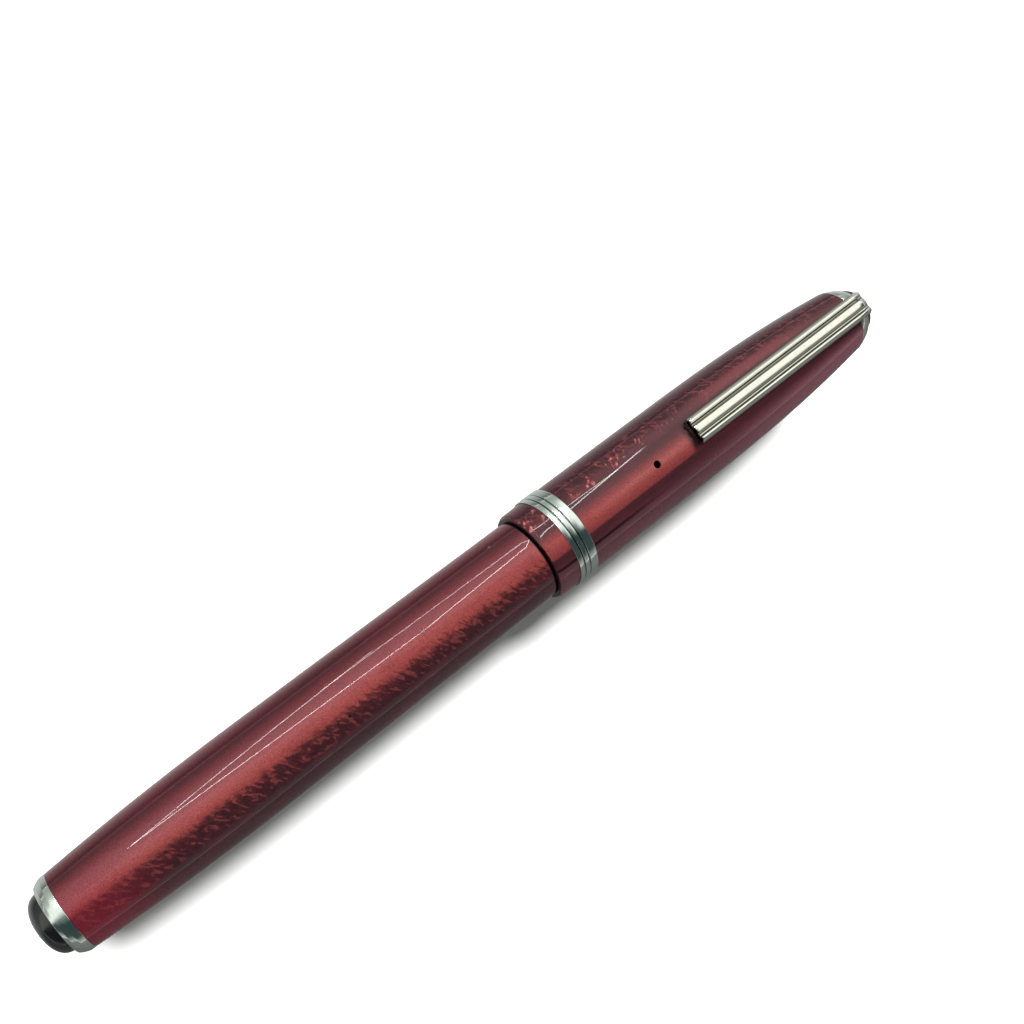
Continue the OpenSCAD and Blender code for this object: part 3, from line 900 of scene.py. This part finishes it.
def make_clip():
    """The ribbed strip: folded at its tip, straight over the cap, and bent down over the ring."""
    half = CLIP_HIGH.y
    tip, top = CLIP_LOW.x, CLIP_HIGH.z
    back_z = top - STRIP - RIB
    bend_r = 4.2
    bend_end = math.acos(1 - (back_z - CLIP_LOW.z) / bend_r)
    bend_x = CLIP_HIGH.x - (bend_r + STRIP + RIB) * math.sin(bend_end)
    centre = Vector((bend_x, 0, back_z - bend_r))
    ribs_end = 58
    fold_end = tip + 5
    floor_z = cap_radius(tip) + 0.03
    edge = 0.12
    stops = [(tip, 0.94, floor_z), (tip + 0.12, 0.98, floor_z), (tip + 0.3, 1, floor_z)]
    stops += [(x, 1, floor_z) for x in stations(tip + 0.6, fold_end, 8)]
    stops += [(fold_end + 0.03, 1, back_z)]
    stops += [(x, 1, back_z) for x in stations(fold_end + 0.8, bend_x, 30)]

    points, rings = [], []

    def ring_of(place, outward, ribs, under):
        right = clip_section(ribs)
        outline = [(-y, h) for y, h in reversed(right)] + right[1:]
        outline = [(-half, edge), *outline, (half, edge), (half, under), (-half, under)]
        rings.append([len(points) + k for k in range(len(outline))])
        points.extend(place + outward * h + Vector((0, y, 0)) for y, h in outline)

    up = Vector((0, 0, 1))
    for x, ribs, under in stops:
        ring_of(Vector((x, 0, back_z)), up, ribs, under - back_z)
    for a in stations(0, bend_end, 14)[1:]:
        outward = Vector((math.sin(a), 0, math.cos(a)))
        ring_of(centre + outward * bend_r, outward, max(0, 1 - math.degrees(a) / ribs_end), 0)

    count = len(rings[0])
    faces = [tuple(rings[0]), tuple(rings[-1])]
    for ring, following in zip(rings, rings[1:]):
        faces += [
            (ring[k], ring[(k + 1) % count], following[(k + 1) % count], following[k])
            for k in range(count)
        ]
    clip = piece_from("clip_strip", points, faces)
    depth, floor = (tip - 1, tip + 3), floor_z + 0.17
    cutters = [
        block("pocket_cutter", depth, (-1.56, 1.56), (floor, back_z + STRIP - 0.17)),
        block("middle_cutter", depth, (-0.34, 0.34), (floor + 0.1, top - 0.14)),
        *[block("side_cutter", depth, (s * 1.12, s * 1.45), (floor + 0.1, top - 0.24))
          for s in (-1, 1)],
    ]
    cut(clip, *cutters, angle=math.radians(24))
    put(clip, "clip", "clip_steel", CLIP_STEEL, "clip")


make_clip()


# ---------------------------------------------------------------- section and nib unit


def make_section():
    """The black grip: it narrows to a waist and flares to a lip at the nib."""
    front, back, lip_r = SECTION_HIGH.x, SECTION_LOW.x, SECTION_HIGH.z
    plug_back, channel_r, socket_r = -3.2, 1.5, 2.8
    socket_back = front - 7.5
    outline = rounded([
        (back, channel_r, 0.1), (back, SAC_BORE_R, 0.15), (plug_back, SAC_BORE_R, 0.1),
        (plug_back, BORE_R, 0.2), (NECK_END, BORE_R, 0.02), (NECK_END, THREAD_ROOT_R - 0.1, 0.12),
        (NECK_END + 3, 4.25, 6), (NECK_END + 6.5, 3.92, 8), (front - 3.2, 3.72, 3),
        (front - 1.8, 3.78, 2), (front - 0.9, 4.08, 0.8), (front - 0.3, lip_r, 0.25),
        (front, lip_r - 0.12, 0.1), (front, socket_r, 0.1), (socket_back, socket_r, 0.05),
        (socket_back, channel_r, 0.05),
    ], 8)
    made = lathe("section_grip", dense(outline, 1.0, True), closed=True)
    put(made, "barrel", "black_plastic", BLACK, "section")


make_section()


def make_collar():
    """The threaded sleeve of the nib unit, with its flange."""
    front, back, flange_r = COLLAR_HIGH.x, COLLAR_LOW.x, COLLAR_HIGH.z
    flange_x = SECTION_HIGH.x + RUNNING
    root, crest, lead = 2.55, 2.75, 0.6
    sleeve = [(x, root) for x in stations(back + 0.1, flange_x, 90)]

    def thread(x, r, turn):
        if abs(r - root) > 1e-6 or x > flange_x - 0.1:
            return r
        return root + (crest - root) * thread_height(x, turn, 0.24, 0.08, back, lead, 1)

    outline = rounded([
        (back, COLLAR_BORE_R), (back, root - 0.05), *sleeve, (flange_x, flange_r, 0.12),
        (front - 0.3, flange_r, 0.2), (front, flange_r - 0.3, 0.1), (front, COLLAR_BORE_R),
    ])
    made = lathe("nib_collar_threaded", outline, segments=96, closed=True, shape=thread)
    put(made, "nib_collar", "black_plastic", BLACK, "nib_collar")


make_collar()


def nib_radius(x):
    """Radius of the nib's curved sheet, which widens to its shoulders and closes to its point."""
    shoulder, root, widest, point = 28, 2.2, NIB_HIGH.z, 2
    if x < COLLAR_HIGH.x:
        return root
    if x < shoulder:
        return root + (widest - root) * (x - COLLAR_HIGH.x) / (shoulder - COLLAR_HIGH.x)
    return widest - (widest - point) * ((x - shoulder) / (NIB_HIGH.x - shoulder)) ** 1.5


def nib_half_width(x):
    """Half the width of the nib across the pen."""
    wing, shoulder, root, widest, point = 26, 28.5, 2.05, 2.75, 0.3
    if x < COLLAR_HIGH.x:
        return root
    if x < wing:
        share = (x - COLLAR_HIGH.x) / (wing - COLLAR_HIGH.x)
        return root + (widest - root) * (1 - math.cos(math.pi * share)) / 2
    if x < shoulder:
        return widest
    share = (x - shoulder) / (NIB_HIGH.x - shoulder)
    return point + (widest - point) * (1 - share) ** 1.25


def make_nib():
    """The steel nib: a curved sheet with shoulders, a vent hole and a slit to its point."""
    sheet, across = 0.2, 16
    rows = stations(NIB_LOW.x, NIB_HIGH.x, 70)
    points, faces = [], []
    for outer in (0, 1):
        for x in rows:
            radius = nib_radius(x) - sheet * (1 - outer)
            reach = math.asin(min(0.999, nib_half_width(x) / nib_radius(x)))
            for k in range(across + 1):
                a = reach * (2 * k / across - 1)
                points.append((x, radius * math.sin(a), radius * math.cos(a)))
    width, count = across + 1, (across + 1) * len(rows)
    for layer in (0, count):
        for i in range(len(rows) - 1):
            for k in range(across):
                a = layer + i * width + k
                faces.append((a, a + 1, a + 1 + width, a + width))
    for i in range(len(rows) - 1):
        for k in (0, across):
            a = i * width + k
            faces.append((a, a + width, a + width + count, a + count))
    for i in (0, len(rows) - 1):
        for k in range(across):
            a = i * width + k
            faces.append((a, a + 1, a + 1 + count, a + count))
    nib = piece_from("nib_sheet", points, faces)
    vent = bar("vent_cutter", (VENT_X, 0, 0.5), (VENT_X, 0, 5), VENT_R)
    slit = block("slit_cutter", (VENT_X, NIB_HIGH.x + 1), (-SLIT_WIDTH / 2, SLIT_WIDTH / 2), (0, 5))
    cut(nib, vent, slit)
    put(nib, "nib_unit", "nib_steel", NIB_STEEL, "nib")


make_nib()


def make_tip():
    """The hard writing point: a small pellet, cut flat where it meets the nib and split in two."""
    low, high = TIP_LOW.x, TIP_HIGH.x
    r = TIP_HIGH.y
    outline = [(-r * math.cos(a), r * math.sin(a)) for a in stations(0, math.pi, 20)]
    outline[0], outline[-1] = (-r, 0), (r, 0)
    pellet = lathe("nib_point", outline, segments=40)
    middle = Vector((high - r, 0, (TIP_LOW.z + TIP_HIGH.z) / 2))
    pellet.data.transform(Matrix.Translation(middle * MM))
    back = block("back_cutter", (low - 2, low), (-2, 2), (0, 4))
    slit = block("slit_cutter", (low - 1, high + 1), (-SLIT_WIDTH / 2, SLIT_WIDTH / 2), (0, 4))
    cut(pellet, back, slit)
    put(pellet, "nib_unit", "tip_alloy", TIP_ALLOY, "nib_tip")


make_tip()


# ---------------------------------------------------------------- filling system


def make_sac():
    """The rubber sac on the section's nipple."""
    outer, inner = SAC_HIGH.z, SAC_BORE_R
    mouth, end, floor = SAC_HIGH.x, SAC_LOW.x, SAC_LOW.x + SAC_HIGH.z - SAC_BORE_R
    arc = stations(0, math.pi / 2, 12)
    outside = [(end + outer * (1 - math.sin(a)), outer * math.cos(a)) for a in arc]
    inside = [(floor + inner * (1 - math.sin(a)), inner * math.cos(a)) for a in reversed(arc)]
    outside[-1], inside[0] = (end, 0), (floor, 0)
    outline = dense([(mouth, outer)] + outside, 1.5) + dense(inside + [(mouth, inner)], 1.5)
    sac = lathe("ink_sac_rubber", outline, segments=64, closed=True)
    put(sac, "barrel", "sac_rubber", SAC_RUBBER, "ink_sac")
    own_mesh(sac)


make_sac()
finish_node("lever", LEVER_STEEL, 0.07)
finish_node("lever_pin", LEVER_STEEL)
finish_node("pressure_bar", SPRING_STEEL, 0.05)
finish_node("bar_spring", SPRING_STEEL)
finish_node("feed", FEED_RUBBER, 0.03)


# ---------------------------------------------------------------- stage, lights and camera

# Just below the reach of the open lever.
FLOOR_Z = -27


def sheet_at(name, low, high, z):
    """A level sheet between two (x, y) corners, facing up."""
    (x0, y0), (x1, y1) = low, high
    made = piece_from(name, [(x0, y0, z), (x1, y0, z), (x1, y1, z), (x0, y1, z)], [(0, 1, 2, 3)])
    if made.data.polygons[0].normal.z < 0:
        made.data.flip_normals()
    return made


def make_floor():
    """A plain grey floor, which its own light makes pale. It is clear from below, so the lever's
    side can be seen."""
    floor = sheet_at("floor", (-1500, -1500), (1500, 1500), FLOOR_Z)
    made = bpy.data.materials.new("paper")
    made.use_nodes = True
    t = Tree(made.node_tree)
    paper = principled(t, base_color=(0.3, 0.3, 0.3, 1), roughness=0.9)
    clear = t.node("ShaderNodeBsdfTransparent").outputs[0]
    behind = t.node("ShaderNodeNewGeometry").outputs["Backfacing"]
    mixed = t.node("ShaderNodeMixShader", {0: behind, 1: paper, 2: clear}).outputs[0]
    t.node("ShaderNodeOutputMaterial", {"Surface": mixed})
    floor.data.materials.append(made)
    return floor


FLOOR = make_floor()


# How bright the floor looks in the polished surfaces, by millimetres from under the pen to +Y.
CARD_TONES = ((-600, 0.20), (-60, 0.22), (-10, 0.16), (3, 0.45), (22, 0.62), (60, 0.42), (140, 0.2),
              (600, 0.2))


def make_card():
    """A grey card close over the floor that only reflections see, darker on the shadow side."""
    low, high = CARD_TONES[0][0], CARD_TONES[-1][0]
    card = sheet_at("card", (-600, low), (600, high), FLOOR_Z + 2)
    made = bpy.data.materials.new("grey_card")
    made.use_nodes = True
    t = Tree(made.node_tree)
    share = t.math("DIVIDE", t.minus(Place(t).y, low), high - low)
    stops = [((y - low) / (high - low), (tone, tone * 1.02, tone, 1)) for y, tone in CARD_TONES]
    shine = t.node("ShaderNodeEmission", {"Color": t.ramp(share, stops), "Strength": 1.0})
    t.node("ShaderNodeOutputMaterial", {"Surface": shine.outputs[0]})
    card.data.materials.append(made)
    card.visible_camera = False
    card.visible_diffuse = False
    card.visible_shadow = False
    card.visible_transmission = False


make_card()


def aim(location, target, along):
    """Turns a light at location to face target, with its long side along this direction."""
    back = (Vector(location) - Vector(target)).normalized()
    side = (Vector(along) - back * Vector(along).dot(back)).normalized()
    turned = Matrix((side, back.cross(side), back)).transposed().to_4x4()
    return Matrix.Translation(Vector(location) * MM) @ turned


def area_light(name, location, target, length, width, power, along=(1, 0, 0), glossy=True,
               diffuse=True):
    """A rectangular light of this length and width in millimetres, which the camera can't see."""
    data = bpy.data.lights.new(name, "AREA")
    data.shape = "RECTANGLE"
    data.size, data.size_y = length * MM, width * MM
    data.energy = power
    made = bpy.data.objects.new(name, data)
    bpy.context.scene.collection.objects.link(made)
    made.matrix_world = aim(location, target, along)
    made.visible_camera = False
    made.visible_glossy = glossy
    made.visible_diffuse = diffuse
    return made


def lamp_frame(corners_at, width, radiance):
    """Thin strips of light round the opening of a light box over the pen."""
    middle_of_pen = Vector((-20, 0, 0))
    for k, corner in enumerate(corners_at):
        a, b = Vector(corner), Vector(corners_at[(k + 1) % len(corners_at)])
        length = (b - a).length
        power = radiance * math.pi * length * width * MM * MM
        area_light(f"lamp_{k}", (a + b) / 2, middle_of_pen, length, width, power, b - a,
                   diffuse=False)


lamp_frame(((-104, 192, 300), (44, 382, 300), (207, 236, 300), (59, 87, 300)), 6, 24)
area_light("key", (10, 84, 400), (0, 0, 0), 110, 70, 0.62, glossy=False)
fill = area_light("fill", (-40, -120, 420), (0, 0, 0), 500, 500, 1.35, glossy=False)


def floor_sun():
    """An even light for the floor alone, so that it stays pale and the pen's shadow is close."""
    data = bpy.data.lights.new("floor_sun", "SUN")
    data.energy = 14
    data.angle = math.radians(9)
    made = bpy.data.objects.new("floor_sun", data)
    bpy.context.scene.collection.objects.link(made)
    made.matrix_world = aim((0, 52, 400), (0, 0, 0), (1, 0, 0))
    made.visible_glossy = False
    return made


for lamp, state in ((fill, "EXCLUDE"), (floor_sun(), "INCLUDE")):
    linked = bpy.data.collections.new(lamp.name + "_floor")
    linked.objects.link(FLOOR)
    linked.collection_objects[0].light_linking.link_state = state
    lamp.light_linking.receiver_collection = linked

# What the metal sees round the pen, by degrees from straight up towards +Y: the lit side, the
# opening of the light box, and the dark shape of whoever looks in.
ROOM = (
    (-180, (0.30, 0.30, 0.29)), (-100, (0.42, 0.44, 0.41)), (-84, (0.36, 0.38, 0.35)),
    (-72, (0.055, 0.075, 0.075)), (-22, (0.040, 0.065, 0.068)), (-4, (0.22, 0.26, 0.26)),
    (12, (1.15, 1.16, 1.12)), (46, (1.15, 1.16, 1.10)), (60, (0.60, 0.64, 0.58)),
    (84, (0.38, 0.42, 0.38)), (110, (0.42, 0.44, 0.41)), (180, (0.30, 0.30, 0.29)),
)


def make_world():
    """The dim room round the pen, with a bright patch ahead of it. The camera sees plain white."""
    world = bpy.data.worlds.new("room")
    bpy.context.scene.world = world
    world.use_nodes = True
    t = Tree(world.node_tree)
    direction = t.node("ShaderNodeTexCoord").outputs["Generated"]
    x, y, z = t.node("ShaderNodeSeparateXYZ", {0: direction}).outputs
    turn = t.math("DEGREES", t.math("ARCTAN2", y, z))
    stops = [((degrees + 180) / 360, (*colour, 1)) for degrees, colour in ROOM]
    ahead = t.times(t.range(x, 0.36, 0.52), t.range(z, 0.2, 0.5), t.range(turn, -26, -8))
    colour = t.mix(ahead, t.ramp(t.around(turn), stops), (1.22, 1.22, 1.14, 1))
    seen = t.node("ShaderNodeLightPath").outputs["Is Camera Ray"]
    colour = t.mix(seen, colour, (1.0, 1.0, 1.0, 1))
    shine = t.node("ShaderNodeBackground", {"Color": colour, "Strength": 1.0})
    t.node("ShaderNodeOutputWorld", {"Surface": shine.outputs[0]})


make_world()


def make_camera():
    """Over the tail, looking down and along the pen."""
    data = bpy.data.cameras.new("camera")
    data.lens = 37.24
    data.sensor_width = 36
    data.clip_start = 0.001
    data.shift_x, data.shift_y = -0.0005, 0.0005
    camera = bpy.data.objects.new("camera", data)
    bpy.context.scene.collection.objects.link(camera)
    right = Vector((0.7477, -0.6078, 0.2674)).normalized()
    back = Vector((-0.3678, -0.0438, 0.9289)).normalized()
    up = back.cross(right).normalized()
    right = up.cross(back)
    turned = Matrix((right, up, back)).transposed().to_4x4()
    camera.matrix_world = Matrix.Translation(Vector((-44.98, 0, 118.78)) * MM) @ turned
    bpy.context.scene.camera = camera


make_camera()
bpy.context.scene.view_settings.view_transform = "Standard"
bpy.context.scene.view_settings.look = "None"
